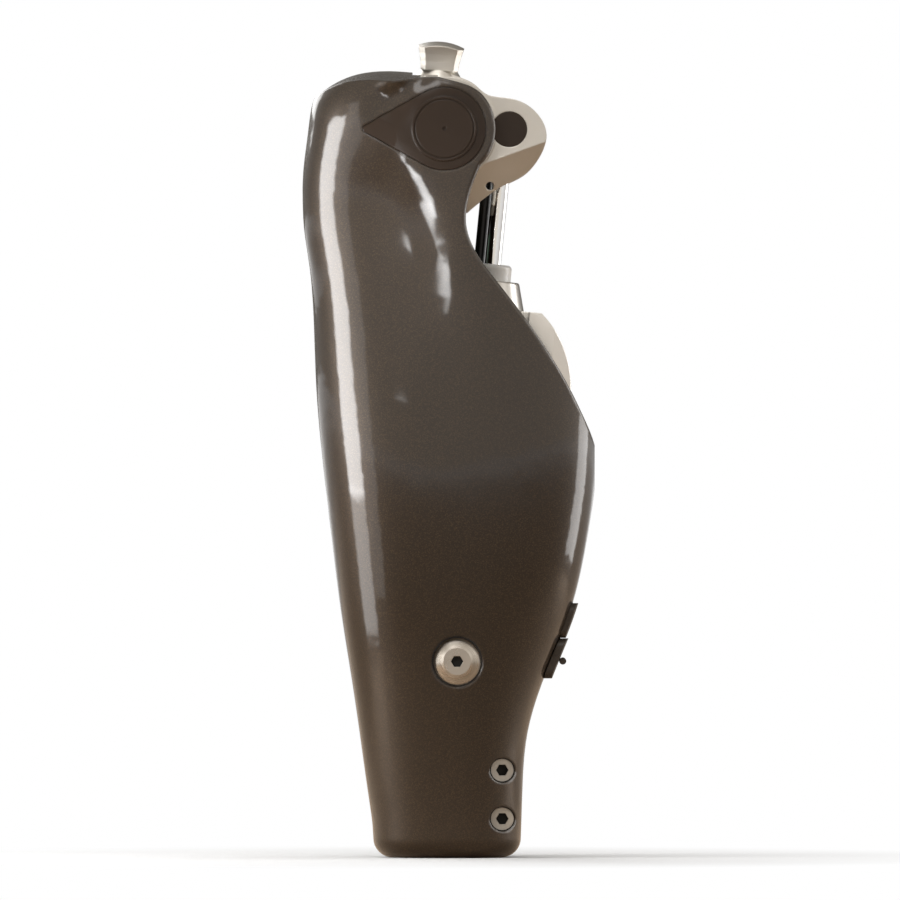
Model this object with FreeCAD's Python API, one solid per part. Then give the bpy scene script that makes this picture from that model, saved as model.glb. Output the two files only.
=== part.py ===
"""Single-axis hydraulic prosthetic knee joint, modelled as separate pieces.

Millimetres. The origin is the centre of the tube clamp's mouth, +Z runs up the shin tube's axis,
+X points to the back of the leg and the pieces named left lie at -Y.
"""
import FreeCAD
import Part

import math
import os

V = FreeCAD.Vector
ACROSS = V(0, 1, 0)

# Tube clamp.
TUBE_R = 17.0
CLAMP_DEPTH = 50.0
CLAMP_FLOOR = 6.0
CLAMP_SLOT = 2.5
SCREW_R = 2.5
SCREW_WALL = 1.3
SCREW_X = TUBE_R + SCREW_R + SCREW_WALL
SCREW_HEIGHTS = (14.4, 32.4)
SCREW_HOLE_GAP = 0.25
SCREW_HEAD_R = 4.25
SCREW_HEAD_GAP = 0.35
SCREW_HEAD_HEIGHT = 5.0
SCREW_SEAT = 10.0
INSERT_WALL = 1.3
INSERT_LENGTH = 9.0

# Shin frame: stations up the leg, each with its height, front, rear and half width.
STATIONS = [
    (0.0, -TUBE_R - 10.3, TUBE_R + 10.6, TUBE_R + 9.0),
    (22.0, -TUBE_R - 11.6, TUBE_R + 11.2, TUBE_R + 9.8),
    (46.0, -TUBE_R - 15.0, TUBE_R + 13.2, TUBE_R + 11.4),
    (68.0, -35.3, 37.0, 30.6),
    (90.0, -38.8, 45.7, 32.6),
    (115.0, -42.0, 51.8, 34.4),
    (146.0, -45.6, 55.9, 35.6),
    (175.0, -48.1, 56.0, 35.0),
    (205.0, -49.3, 53.0, 33.2),
    (219.0, -50.6, 50.5, 32.3),
    (233.0, -52.6, 48.0, 31.6),
    (243.0, -53.1, 46.4, 31.2),
    (252.0, -53.0, 45.0, 31.0),
    (261.0, -52.1, 44.0, 30.9),
    (270.0, -50.9, 43.0, 30.8),
    (284.0, -47.3, 41.0, 30.4),
    (300.0, -41.0, 38.0, 29.8),
]
SECTION_POINTS = 36
ROUND_BELOW = 68.0
BASE_ROUNDNESS = 2.7
SHIN_ROUNDNESS = 2.5
FRAME_WALL = 4.0
CROWN_WALL = 3.0
BASE_FILLET = 7.0
RIM_FILLET = 1.5

# Ridge that runs down the side from the cap's tip: height, place along X, and how far the side
# draws in ahead of it.
RIDGE = [
    (158.0, 10.0, 0.0), (180.0, 6.0, 1.0), (200.0, 0.0, 2.4), (222.0, -6.0, 3.6),
    (243.0, -14.0, 3.8), (256.0, -21.0, 2.8), (266.0, -29.0, 1.0), (276.0, -34.0, 0.0),
]
RIDGE_WIDTH = 6.0

# Roof of the frame from the front to the crown's rear edge, at even steps along X: height at the
# sides and height in the middle.
ROOF_START_X = -62.0
ROOF_PITCH = 9.0
ROOF = [
    (266.0, 268.0), (277.0, 278.0), (282.4, 284.6), (284.9, 289.2), (286.1, 290.9),
    (287.1, 290.9), (288.0, 290.2), (288.2, 290.2),
]
ROOF_HALF_SPAN = 31.0
ROOF_REACH = 42.0
ROOF_STEPS = 4
CROWN_END_X = -12.4

# Rear rim of the side walls, from the calf hump up to the cheek.
REAR_RIM = [
    (57.6, 138.0), (56.3, 147.0), (54.2, 155.0), (50.7, 163.3), (46.1, 172.8), (37.9, 186.8),
    (27.4, 201.9), (16.4, 216.1), (10.7, 224.4), (7.4, 234.4), (8.4, 244.0), (12.8, 255.9),
]
CHEEK_R = 18.9
CHEEK_TOP_ANGLE = 40.0
CHEEK_RIM = [(10.7, 284.1), (5.1, 286.4), (-3.0, 288.6)]

# Linkage: knee axis, crank to the clevis pin and the unit's lower pivot.
KNEE = V(-0.6, 0, 269.3)
CRANK = 24.0
LOWER_PIVOT = V(4.1, 0, 72.7)
PIN = KNEE + V(CRANK, 0, 0)
ROD_LENGTH = (PIN - LOWER_PIVOT).Length

# Knee axle and its bearings.
HEAD_HALF = 20.0
RUNNING_GAP = 0.3
SHAFT_CLEARANCE = 0.03
AXLE_R = 7.0
AXLE_PASSAGE_GAP = 1.0
BEARING_WALL = 3.5
BEARING_R = AXLE_R + BEARING_WALL
BEARING_LENGTH = 4.6
BEARING_INNER = HEAD_HALF + RUNNING_GAP
BEARING_OUTER = BEARING_INNER + BEARING_LENGTH
KNEE_BOSS_WALL = 6.5
AXLE_OVERHANG = 0.5
AXLE_HALF = BEARING_OUTER + AXLE_OVERHANG
AXLE_SCREW_R = 5.0
AXLE_SCREW_HEIGHT = 0.5
CAP_SPACE = 0.1
RECESS_FLOOR = AXLE_HALF + AXLE_SCREW_HEIGHT + CAP_SPACE
HEX_M5 = 4.0
HEX_DEPTH = 2.6

# Teardrop cap over the axle's end.
CAP_R = 15.4
CAP_TIP_REACH = 30.3
CAP_TIP_R = 1.5
CAP_GAP = 0.15
CAP_DISC_R = 12.0
CAP_DISC_RISE = 0.7
CAP_TIP_SINK = 5.0
CAP_LINE_WIDTH = 0.4
CAP_LINE_DEPTH = 0.25
CAP_LINE_INSET = 0.9
CAP_NOTCH_R = 2.0
CAP_DIMPLE_R = 0.6
CAP_DIMPLE_DEPTH = 0.4

# Knee head.
DRUM_R = 19.4
LUG_HALF = 15.0
LUG_OUTLINE = [
    (2.0, 289.6), (6.6, 288.0), (10.2, 286.2), (15.0, 282.3), (19.8, 281.2), (25.9, 280.2), (33.1, 275.8), (37.2, 267.2), (34.7, 259.3),
    (28.3, 252.1), (21.0, 248.4), (13.9, 243.6), (7.9, 238.6),
]
WEB_CORNERS = [(3.4, 238.9), (-4.0, 251.5)]
WEB_HOLE = (16.2, 248.4)
WEB_HOLE_R = 1.5
SLOT_CLEARANCE = 0.4
LUG_CHAMFER_DEPTH = 3.6
LUG_CREASE = [(15.0, 256.9), (36.5, 264.6)]

# Male pyramid, its axis leaning back.
PYRAMID_LEAN = 5.0
PYRAMID_BASE = V(-2.6, 0, 290.2)
PYRAMID_HEIGHT = 11.8
PYRAMID_DOME_R = 21.0
PYRAMID_FLANK = [(1.0, 6.9), (4.0, 7.2), (7.0, 7.8), (10.0, 8.6), (12.0, 9.2)]
PYRAMID_FLAT_SHARE = 0.74
PYRAMID_FOOT_R = 9.2
PYRAMID_FOOT_DROP = 2.4
PYRAMID_NECK_DROP = 6.0

# Clevis pin, rod end and rod.
PIN_R = 5.0
PLUG_STEP = 1.6
PLUG_R = PIN_R + PLUG_STEP
PLUG_THICK = 1.5
BUSH_WALL = 1.6
BUSH_R = PIN_R + BUSH_WALL
EYE_WALL = 4.4
EYE_R = BUSH_R + EYE_WALL
EYE_HALF = 6.8
EYE_ROOM = 0.6
ROD_R = 3.1
ROD_SETBACK = -1.2
COLLAR_WALL = 1.1
COLLAR_LENGTH = 7.9
COLLAR_BOTTOM = ROD_LENGTH - EYE_R - COLLAR_LENGTH
SENSOR_R = 1.95
SENSOR_X = -5.1
SENSOR_Y = 3.6
SENSOR_SEAT = 4.0
SENSOR_ROOM = 0.6
SLOT_REACH = 50.0
SLOT_FOOT = 60.0
SLOT_BACK = (17.0, 36.0)

# Hydraulic unit, measured up the rod's axis from the lower pivot.
FREE_ROD = 31.2
STOP_HEIGHT = 6.1
STOP_R = 7.2
STOP_MOUTH = 4.6
STOP_FILLET = 1.6
STOP_TOP = COLLAR_BOTTOM - FREE_ROD
GLAND_HEIGHT = 10.3
GLAND_TOP_R = 10.4
GLAND_FOOT_R = 13.2
GLAND_FILLET = 1.0
GLAND_TOP = STOP_TOP - STOP_HEIGHT
UNIT_TOP = GLAND_TOP - GLAND_HEIGHT
UNIT_HALF = 17.0
UNIT_FRONT = -14.0
UNIT_BACK = 14.0
UNIT_CORNER = 6.0
UNIT_SHOULDER = 14.0
HEAD_SEAT_R = 11.2
HEAD_SEAT_DEPTH = 12.0
CYLINDER_R = 9.5
CYLINDER_LENGTH = 89.0
CYLINDER_CEILING = UNIT_TOP - HEAD_SEAT_DEPTH
CYLINDER_FLOOR = CYLINDER_CEILING - CYLINDER_LENGTH
ROD_CLEARANCE = 0.05
SENSOR_WELL = 40.0
SENSOR_WELL_GAP = 0.3
SENSOR_FOOT = 2.0
PISTON_HEIGHT = 9.0
PISTON_CLEARANCE = 0.05
GAS_ROOM = 14.0
BUMPER_HEIGHT = 4.0
BUMPER_WALL = 3.0
BUMPER_GAP = 0.3
PISTON_TOP = CYLINDER_CEILING - BUMPER_HEIGHT - BUMPER_GAP
SEAL_HEIGHT = 2.5
SEAL_DEPTH = 2.0
ROD_SEAL_WALL = 1.2
ROD_SEAL_SEAT = 2.0
CORNER_NOTCH_X = 10.8
CORNER_NOTCH_HALF = 11.0
CORNER_NOTCH_DEPTH = 5.0

# Rear cover of the unit: places behind the rod's axis, and how far each lies below the unit's top.
COVER_OUTLINE = [
    (18.5, 0.0), (26.0, 8.6), (30.9, 20.0), (32.6, 35.0), (32.2, 61.0), (30.2, 87.0), (24.0, 99.5),
]
COVER_LIP = 3.0
COVER_WALL = 1.8
COVER_BEVEL_START = 24.0
COVER_BEVEL_IN = 12.0
COVER_BEVEL_OUT = 50.0
MOTOR_R = 5.5
MOTOR_LENGTH = 34.0
MOTOR_DROP = 73.0
MOTOR_GAP = 1.0
MOTOR_SPREAD = 8.0
SPOOL_R = 2.5
SPOOL_LENGTH = 6.0

# Lower pivot bolts.
PIVOT_R = 5.0
PIVOT_FLANGE_R = 8.75
PIVOT_FLANGE_EDGE = 0.8
PIVOT_FACE_R = 5.05
PIVOT_RECESS_GAP = 0.65
PIVOT_SEAT = 28.4
PIVOT_HEAD_HEIGHT = 2.6
PIVOT_FACE = PIVOT_SEAT + PIVOT_HEAD_HEIGHT
PIVOT_BOSS_WALL = 5.0
PIVOT_GAP = 0.3
PIVOT_BUSH_WALL = 1.5
PIVOT_BUSH_LENGTH = 8.0
PIVOT_BUSH_R = PIVOT_R + PIVOT_BUSH_WALL
EAR_WALL = 1.5
EAR_R = PIVOT_BUSH_R + EAR_WALL
EAR_RISE = 3.0
EAR_HALF = UNIT_HALF + EAR_RISE

# Charging port at the lower back.
PORT_TOP = 94.0
PLATE_HEIGHT = 12.8
FLAP_HEIGHT = 15.0
PORT_SPLIT = PORT_TOP - PLATE_HEIGHT
PORT_BOTTOM = PORT_SPLIT - FLAP_HEIGHT
PORT_HALF = 9.0
PORT_CORNER = 3.0
PLATE_RISE = 2.0
FLAP_RISE = 3.0
FLAP_GAP = 0.25
NUB_R = 1.3
NUB_HALF = 5.0
NUB_DROP = 8.6
NUB_RISE = 1.4
SOCKET_HALF = 5.5
SOCKET_HEIGHT = 8.0
SOCKET_DROP = 7.2
SOCKET_Z = PORT_SPLIT - SOCKET_DROP
SOCKET_DEPTH = 9.0
SOCKET_SINK = 0.8

# Control electronics at the front wall.
CARRIER_FACE = -34.0
CARRIER_HALF = 16.0
CARRIER_BOTTOM = 118.0
CARRIER_EDGE = 4.0
BATTERY_HALF = 14.0
BATTERY_THICK = 9.0
BATTERY_HEIGHT = 58.0
BATTERY_BOTTOM = CARRIER_BOTTOM + CARRIER_EDGE
BATTERY_TOP = BATTERY_BOTTOM + BATTERY_HEIGHT
BOARD_SPACE = 6.0
BOARD_HALF = 13.0
BOARD_THICK = 1.6
BOARD_HEIGHT = 50.0
BOARD_BOTTOM = BATTERY_TOP + BOARD_SPACE
BOARD_TOP = BOARD_BOTTOM + BOARD_HEIGHT
CARRIER_TOP = BOARD_TOP + CARRIER_EDGE


def place_on_link(shape):
    """Move a shape from the frame of the link line, which runs up from the lower pivot to the
    clevis pin, into place."""
    run = PIN - LOWER_PIVOT
    tilt = math.degrees(math.atan2(run.x, run.z))
    link = FreeCAD.Placement(LOWER_PIVOT, FreeCAD.Rotation(ACROSS, tilt))
    placed = shape.copy()
    placed.Placement = link.multiply(shape.Placement)
    return placed


def place_on_rod(shape):
    """The same for what lies on the rod's axis, which runs a little ahead of the link line."""
    return place_on_link(at_rod(shape))


def at_rod(shape):
    return shape.translated(V(ROD_SETBACK, 0, 0))


def export(name, solids):
    """Write one node, either a single solid or a group of them."""
    shape = solids[0] if len(solids) == 1 else Part.makeCompound(solids)
    shape.exportStep("parts/%s.step" % name)


def box(x0, x1, y0, y1, z0, z1):
    return Part.makeBox(x1 - x0, y1 - y0, z1 - z0, V(x0, y0, z0))


def cross_cylinder(centre, radius, y0, y1):
    """Cylinder across the leg, through a point of the side view."""
    return Part.makeCylinder(radius, y1 - y0, V(centre.x, y0, centre.z), ACROSS)


def upright(radius, z0, z1, x=0.0, y=0.0):
    return Part.makeCylinder(radius, z1 - z0, V(x, y, z0))


def side_point(pair):
    return V(pair[0], 0, pair[1])


def curve(points):
    """Smooth edge through points of the side view."""
    spline = Part.BSplineCurve()
    spline.interpolate([side_point(pair) for pair in points])
    return spline.toShape()


def polyline(points):
    return [Part.makeLine(side_point(a), side_point(b)) for a, b in zip(points, points[1:])]


def cross_prism(edges, y0, y1):
    """Solid across the leg with the outline drawn by edges of the side view."""
    face = Part.Face(Part.Wire(edges))
    face.translate(V(0, y0, 0))
    return face.extrude(V(0, y1 - y0, 0))


def hexagon(across_flats, centre, y0, y1):
    """Hexagonal prism across the leg."""
    radius = across_flats / math.sqrt(3)
    corners = []
    for step in range(7):
        angle = math.radians(60 * step)
        corners.append((centre.x + radius * math.cos(angle), centre.z + radius * math.sin(angle)))
    return cross_prism(polyline(corners), y0, y1)


def mirrored(shape):
    return shape.mirror(V(0, 0, 0), ACROSS)


def fused(first, *others):
    return first.fuse(list(others)).removeSplitter()


def between(rows, height):
    """Row of a table at one height, worked out from the rows above and below it."""
    if height <= rows[0][0]:
        return rows[0][1:]
    for low, high in zip(rows, rows[1:]):
        if height <= high[0]:
            share = (height - low[0]) / (high[0] - low[0])
            return tuple(a + share * (b - a) for a, b in zip(low[1:], high[1:]))
    return rows[-1][1:]


def side_draw(x, height):
    """How far the side is drawn in at one place, ahead of the ridge below the cap."""
    ridge_x, depth = between(RIDGE, height)
    return depth * (1 - math.tanh((x - ridge_x) / RIDGE_WIDTH)) / 2


def shin_section(station, inset):
    """Closed wire of the shin at one height, drawn in from the outer surface by the inset."""
    height, front, rear, half = station
    share = min(height / ROUND_BELOW, 1.0)
    power = 2.0 / (BASE_ROUNDNESS + (SHIN_ROUNDNESS - BASE_ROUNDNESS) * share)
    points = []
    for step in range(SECTION_POINTS):
        angle = 2 * math.pi * step / SECTION_POINTS
        reach = (rear - inset) if math.cos(angle) > 0 else -(front + inset)
        x = math.copysign(abs(math.cos(angle)) ** power, math.cos(angle)) * reach
        reach_y = half - inset - side_draw(x, height)
        y = math.copysign(abs(math.sin(angle)) ** power, math.sin(angle)) * reach_y
        points.append(V(x, y, height))
    spline = Part.BSplineCurve()
    spline.interpolate(points, PeriodicFlag=True)
    return Part.Wire(spline.toShape())


def shin_loft(inset=0.0):
    return Part.makeLoft([shin_section(station, inset) for station in STATIONS], True)


def roof_body(drop=0.0):
    """Everything below the roof, which arches across the leg from one side rim to the other."""
    rows = []
    x = ROOF_START_X
    while x < -ROOF_START_X:
        side, middle = ROOF[min(len(rows), len(ROOF) - 1)]
        row = []
        for step in range(-ROOF_STEPS, ROOF_STEPS + 1):
            y = ROOF_REACH * step / ROOF_STEPS
            fall = (middle - side) * (y / ROOF_HALF_SPAN) ** 2
            row.append(V(x, y, middle - fall - drop))
        rows.append(row)
        x += ROOF_PITCH
    surface = Part.BSplineSurface()
    surface.interpolate(rows)
    return surface.toShape().extrude(V(0, 0, -2 * KNEE.z))


def side_trim():
    """Side view of the frame's rear rim, cheek and side rim, as a solid to keep."""
    top_angle = math.radians(CHEEK_TOP_ANGLE)
    start = side_point(REAR_RIM[-1])
    middle = KNEE + V(CHEEK_R, 0, 0)
    end = KNEE + V(CHEEK_R * math.cos(top_angle), 0, CHEEK_R * math.sin(top_angle))
    rim = [(end.x, end.z)] + CHEEK_RIM
    edges = [curve(REAR_RIM), Part.Arc(start, middle, end).toShape(), curve(rim)]
    outside = [rim[-1], (rim[-1][0], 320.0), (-80.0, 320.0), (-80.0, -20.0), (80.0, -20.0),
               (80.0, REAR_RIM[0][1]), REAR_RIM[0]]
    return cross_prism(edges + polyline(outside), -60, 60)


def teardrop(gap=0.0):
    """Teardrop prism of the axle cap, drawn in by the gap."""
    radius = CAP_R - gap
    tip_r = CAP_TIP_R - gap
    tip = KNEE - V(CAP_TIP_REACH - CAP_TIP_R, 0, 0)
    lean = math.asin((radius - tip_r) / (KNEE.x - tip.x))
    side = V(-math.sin(lean), 0, math.cos(lean))
    lower = V(side.x, 0, -side.z)
    nose = Part.Arc(tip + side * tip_r, tip - V(tip_r, 0, 0), tip + lower * tip_r)
    round_end = Part.Arc(KNEE + lower * radius, KNEE + V(radius, 0, 0), KNEE + side * radius)
    edges = [nose.toShape(), Part.makeLine(tip + lower * tip_r, KNEE + lower * radius),
             round_end.toShape(), Part.makeLine(KNEE + side * radius, tip + side * tip_r)]
    return cross_prism(edges, -60, -RECESS_FLOOR)


def frame_cavity():
    cavity = shin_loft(FRAME_WALL).common(roof_body(CROWN_WALL))
    cavity = cavity.common(box(-80, 80, -60, 60, CLAMP_DEPTH + CLAMP_FLOOR, 320))
    top_opening = box(CROWN_END_X, 80, -BEARING_INNER, BEARING_INNER, KNEE.z - 40, 320)
    drum_room = cross_cylinder(KNEE, DRUM_R + 2 * RUNNING_GAP, -BEARING_INNER, BEARING_INNER)
    return cavity.fuse([top_opening, drum_room])


def knee_boss():
    """Inner boss that carries the left axle bearing."""
    return cross_cylinder(KNEE, BEARING_R + KNEE_BOSS_WALL, -RECESS_FLOOR, -BEARING_INNER)


def pivot_boss():
    return cross_cylinder(LOWER_PIVOT, PIVOT_R + PIVOT_BOSS_WALL, -PIVOT_SEAT,
                          -EAR_HALF - PIVOT_GAP)


def frame_side_cuts():
    """Recesses and bores in the left wall, which the right wall repeats."""
    return [
        teardrop(),
        cross_cylinder(KNEE, BEARING_R, -BEARING_OUTER, 0),
        cross_cylinder(KNEE, AXLE_R + AXLE_PASSAGE_GAP, -RECESS_FLOOR - 1, 0),
        cross_cylinder(LOWER_PIVOT, PIVOT_FLANGE_R + PIVOT_RECESS_GAP, -60, -PIVOT_SEAT),
        cross_cylinder(LOWER_PIVOT, PIVOT_R, -60, 0),
    ]


def clamp_cuts():
    cuts = [
        upright(TUBE_R, -1, CLAMP_DEPTH),
        box(0, 60, -CLAMP_SLOT / 2, CLAMP_SLOT / 2, -1, CLAMP_DEPTH),
    ]
    for height in SCREW_HEIGHTS:
        centre = V(SCREW_X, 0, height)
        cuts.append(cross_cylinder(centre, SCREW_HEAD_R + SCREW_HEAD_GAP, -60, -SCREW_SEAT))
        cuts.append(cross_cylinder(centre, SCREW_R + SCREW_HOLE_GAP, -SCREW_SEAT, CLAMP_SLOT))
        cuts.append(insert_body(centre))
    return cuts


def insert_body(centre):
    """Outer form of one threaded insert, in the right half of the clamp."""
    start = CLAMP_SLOT / 2
    return cross_cylinder(centre, SCREW_R + INSERT_WALL, start, start + INSERT_LENGTH)


def frame_outside():
    """Outer form of the frame, with its rims and its bottom edge rounded."""
    body = shin_loft().common(roof_body()).common(side_trim())
    rims = [edge for edge in body.Edges if edge.CenterOfMass.z > REAR_RIM[0][1]
            and edge.Length > RIM_FILLET and abs(edge.CenterOfMass.y) > RIM_FILLET]
    body = body.makeFillet(RIM_FILLET, rims)
    base = [edge for edge in body.Edges if abs(edge.BoundBox.ZMax) < 1e-3]
    return body.makeFillet(BASE_FILLET, base)


def port_prism(z0, z1):
    """Rounded block through the rear wall at the charging port."""
    block = box(20, 70, -PORT_HALF, PORT_HALF, z0, z1)
    edges = [edge for edge in block.Edges if abs(edge.BoundBox.YLength) < 1e-6
             and abs(edge.BoundBox.ZLength) < 1e-6]
    return block.makeFillet(PORT_CORNER, edges)


def port_surface_x(height):
    """Rear of the frame at one height, in the middle."""
    return between(STATIONS, height)[1]


def frame():
    outer = frame_outside()
    body = outer.cut(frame_cavity())
    bosses = [knee_boss(), mirrored(knee_boss()), pivot_boss(), mirrored(pivot_boss())]
    body = body.fuse([boss.common(outer) for boss in bosses])
    cuts = frame_side_cuts()
    cuts += [mirrored(cut) for cut in frame_side_cuts()]
    cuts += clamp_cuts()
    surface = port_surface_x(SOCKET_Z)
    mouth = box(surface - 15, surface + 10, -SOCKET_HALF, SOCKET_HALF,
                SOCKET_Z - SOCKET_HEIGHT / 2, SOCKET_Z + SOCKET_HEIGHT / 2)
    cuts.append(mouth)
    return body.cut(cuts).removeSplitter()


def cap_slope(crest):
    """What lies outside the flat slope that falls from the cap's disc to its tip."""
    top_x = KNEE.x - CAP_DISC_R
    tip_x = KNEE.x - CAP_TIP_REACH
    corners = [V(top_x, crest, 0), V(tip_x, crest + CAP_TIP_SINK, 0), V(tip_x, -60, 0),
               V(top_x, -60, 0)]
    face = Part.Face(Part.makePolygon(corners + corners[:1]))
    return face.extrude(V(0, 0, 2 * KNEE.z))


def ring_line(centre, radius, floor):
    """Fine groove around a point of the side view, open to the left."""
    ring = cross_cylinder(centre, radius, -60, floor)
    return ring.cut(cross_cylinder(centre, radius - CAP_LINE_WIDTH, -60, floor))


def axle_cap():
    crest = -between(STATIONS, KNEE.z)[2] - CAP_DISC_RISE
    cap = teardrop(CAP_GAP).common(shin_loft()).cut(cap_slope(crest))
    disc = cross_cylinder(KNEE, CAP_DISC_R, crest, -RECESS_FLOOR)
    cap = fused(cap, disc)
    rim_line = ring_line(KNEE, CAP_DISC_R - CAP_LINE_INSET, crest + CAP_LINE_DEPTH)
    dimple = cross_cylinder(KNEE, CAP_DIMPLE_R, -60, crest + CAP_DIMPLE_DEPTH)
    return cap.cut([rim_line, dimple])


def knee_bearing():
    ring = cross_cylinder(KNEE, BEARING_R, -BEARING_OUTER, -BEARING_INNER)
    return ring.cut(cross_cylinder(KNEE, AXLE_R + SHAFT_CLEARANCE, -60, 0))


def knee_axle():
    return cross_cylinder(KNEE, AXLE_R, -AXLE_HALF, AXLE_HALF)


def axle_screw():
    head = cross_cylinder(KNEE, AXLE_SCREW_R, -AXLE_HALF - AXLE_SCREW_HEIGHT, -AXLE_HALF)
    return head.cut(hexagon(HEX_M5, KNEE, -60, -AXLE_HALF - AXLE_SCREW_HEIGHT / 2))


def pyramid_section(half, height):
    """Square wire with cut corners, around the pyramid's own axis."""
    flat = half * PYRAMID_FLAT_SHARE
    corners = [(half, -flat), (half, flat), (flat, half), (-flat, half), (-half, flat),
               (-half, -flat), (-flat, -half), (flat, -half), (half, -flat)]
    return Part.makePolygon([V(x, y, height) for x, y in corners])


def pyramid():
    wires = [pyramid_section(half, height) for height, half in PYRAMID_FLANK]
    dome = Part.makeSphere(PYRAMID_DOME_R, V(0, 0, PYRAMID_HEIGHT - PYRAMID_DOME_R))
    body = Part.makeLoft(wires, True, True).common(dome)
    neck_top, neck_r = PYRAMID_FLANK[0]
    neck = upright(neck_r, -PYRAMID_NECK_DROP, neck_top)
    foot = Part.makeCone(PYRAMID_FOOT_R, neck_r, neck_top + PYRAMID_FOOT_DROP,
                         V(0, 0, -PYRAMID_FOOT_DROP))
    body = body.fuse([neck, foot])
    body.Placement = FreeCAD.Placement(PYRAMID_BASE, FreeCAD.Rotation(ACROSS, PYRAMID_LEAN))
    return body


def clevis_slot():
    """Room for the rod end and for its sweep as the knee flexes."""
    half = EYE_HALF + SLOT_CLEARANCE
    front = ROD_SETBACK + SENSOR_X - SENSOR_R - SENSOR_ROOM
    back_x, back_z = SLOT_BACK
    sweep = [(front, ROD_LENGTH), (front, ROD_LENGTH - SLOT_FOOT),
             (SLOT_REACH, ROD_LENGTH - SLOT_FOOT), (SLOT_REACH, ROD_LENGTH + back_z),
             (back_x, ROD_LENGTH + back_z), (0, ROD_LENGTH), (front, ROD_LENGTH)]
    room = place_on_link(cross_prism(polyline(sweep), -half, half))
    return [cross_cylinder(PIN, EYE_R + EYE_ROOM, -half, half), room]


def lug_chamfer():
    """Wedge that bevels the left lug's lower face along its crease."""
    start = side_point(LUG_CREASE[0])
    end = side_point(LUG_CREASE[1])
    run = (end - start).normalize()
    down = V(run.z, 0, -run.x)
    face_y = -LUG_HALF
    reach = 20.0
    corners = [start - run * 20 + V(0, face_y, 0),
               start - run * 20 + V(0, face_y - 1, 0),
               start - run * 20 + down * reach + V(0, face_y - 1, 0),
               start - run * 20 + down * reach + V(0, face_y + 2 * LUG_CHAMFER_DEPTH, 0)]
    wedge = Part.Face(Part.makePolygon(corners + corners[:1]))
    return wedge.extrude(run * ((end - start).Length + 40))


def knee_head():
    drum = cross_cylinder(KNEE, DRUM_R, -HEAD_HALF, HEAD_HALF)
    hub = LUG_OUTLINE[-1:] + WEB_CORNERS + [(KNEE.x, KNEE.z), LUG_OUTLINE[0]]
    lugs = cross_prism([curve(LUG_OUTLINE)] + polyline(hub), -LUG_HALF, LUG_HALF)
    outside_drum = cross_cylinder(KNEE, DRUM_R, -60, 60)
    bevels = [lug_chamfer(), mirrored(lug_chamfer())]
    lugs = lugs.cut([bevel.cut(outside_drum) for bevel in bevels])
    body = drum.fuse([lugs, pyramid()])
    cuts = clevis_slot()
    cuts.append(cross_cylinder(KNEE, AXLE_R, -60, 60))
    cuts.append(cross_cylinder(PIN, PIN_R, -60, 60))
    cuts.append(cross_cylinder(side_point(WEB_HOLE), WEB_HOLE_R, -60, 60))
    for side in (-1, 1):
        near, far = sorted((side * (LUG_HALF - PLUG_THICK), side * 60))
        cuts.append(cross_cylinder(PIN, PLUG_R, near, far))
    return body.cut(cuts).removeSplitter()


def clevis_pin():
    half = LUG_HALF - PLUG_THICK
    return cross_cylinder(PIN, PIN_R, -half, half)


def pin_plug():
    return cross_cylinder(PIN, PLUG_R, -LUG_HALF, -LUG_HALF + PLUG_THICK)


def eye_bush():
    bush = cross_cylinder(PIN, BUSH_R, -EYE_HALF, EYE_HALF)
    return bush.cut(cross_cylinder(PIN, PIN_R + SHAFT_CLEARANCE, -60, 60))


def rod_eye():
    eye = Part.makeCylinder(EYE_R, 2 * EYE_HALF, V(0, -EYE_HALF, ROD_LENGTH), ACROSS)
    collar = at_rod(upright(ROD_R + COLLAR_WALL, COLLAR_BOTTOM, ROD_LENGTH))
    seat = Part.makeCylinder(BUSH_R, 2 * EYE_HALF, V(0, -EYE_HALF, ROD_LENGTH), ACROSS)
    shank = at_rod(upright(ROD_R, 0, ROD_LENGTH - EYE_R))
    sensor = at_rod(upright(SENSOR_R, 0, sensor_top(), SENSOR_X, SENSOR_Y))
    return place_on_link(fused(eye, collar).cut([seat, shank, sensor]))


def piston_rod():
    return place_on_rod(upright(ROD_R, PISTON_TOP - PISTON_HEIGHT, ROD_LENGTH - EYE_R))


def sensor_top():
    """Height of the sensor rod's end, inside the eye."""
    return ROD_LENGTH - EYE_R + SENSOR_SEAT


def sensor_rod():
    bottom = CYLINDER_CEILING + SENSOR_FOOT
    return place_on_rod(upright(SENSOR_R, bottom, sensor_top(), SENSOR_X, SENSOR_Y))


def seal_groove():
    middle = PISTON_TOP - PISTON_HEIGHT / 2
    outer = upright(CYLINDER_R + 5, middle - SEAL_HEIGHT / 2, middle + SEAL_HEIGHT / 2)
    return outer.cut(upright(CYLINDER_R - SEAL_DEPTH, 0, 300))


def piston():
    body = upright(CYLINDER_R - PISTON_CLEARANCE, PISTON_TOP - PISTON_HEIGHT, PISTON_TOP)
    return place_on_rod(body.cut([upright(ROD_R, 0, 300), seal_groove()]))


def piston_seal():
    return place_on_rod(seal_groove().common(upright(CYLINDER_R - PISTON_CLEARANCE / 2, 0, 300)))


def flexion_stop():
    ring = upright(STOP_R, GLAND_TOP, STOP_TOP)
    edges = [edge for edge in ring.Edges if abs(edge.BoundBox.ZMin - STOP_TOP) < 1e-3]
    ring = ring.makeFillet(STOP_FILLET, edges)
    mouth = box(0, 20, -STOP_MOUTH / 2, STOP_MOUTH / 2, 0, 300)
    mouth.rotate(V(0, 0, 0), V(0, 0, 1), math.degrees(math.atan2(SENSOR_Y, SENSOR_X)))
    return place_on_rod(ring.cut([rod_holes()[0], mouth]))


def rod_holes():
    """Passages for the two rods through whatever guides them."""
    return [
        upright(ROD_R + ROD_CLEARANCE, 0, 300),
        upright(SENSOR_R + ROD_CLEARANCE, CYLINDER_CEILING - SENSOR_WELL, 300, SENSOR_X, SENSOR_Y),
    ]


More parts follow.
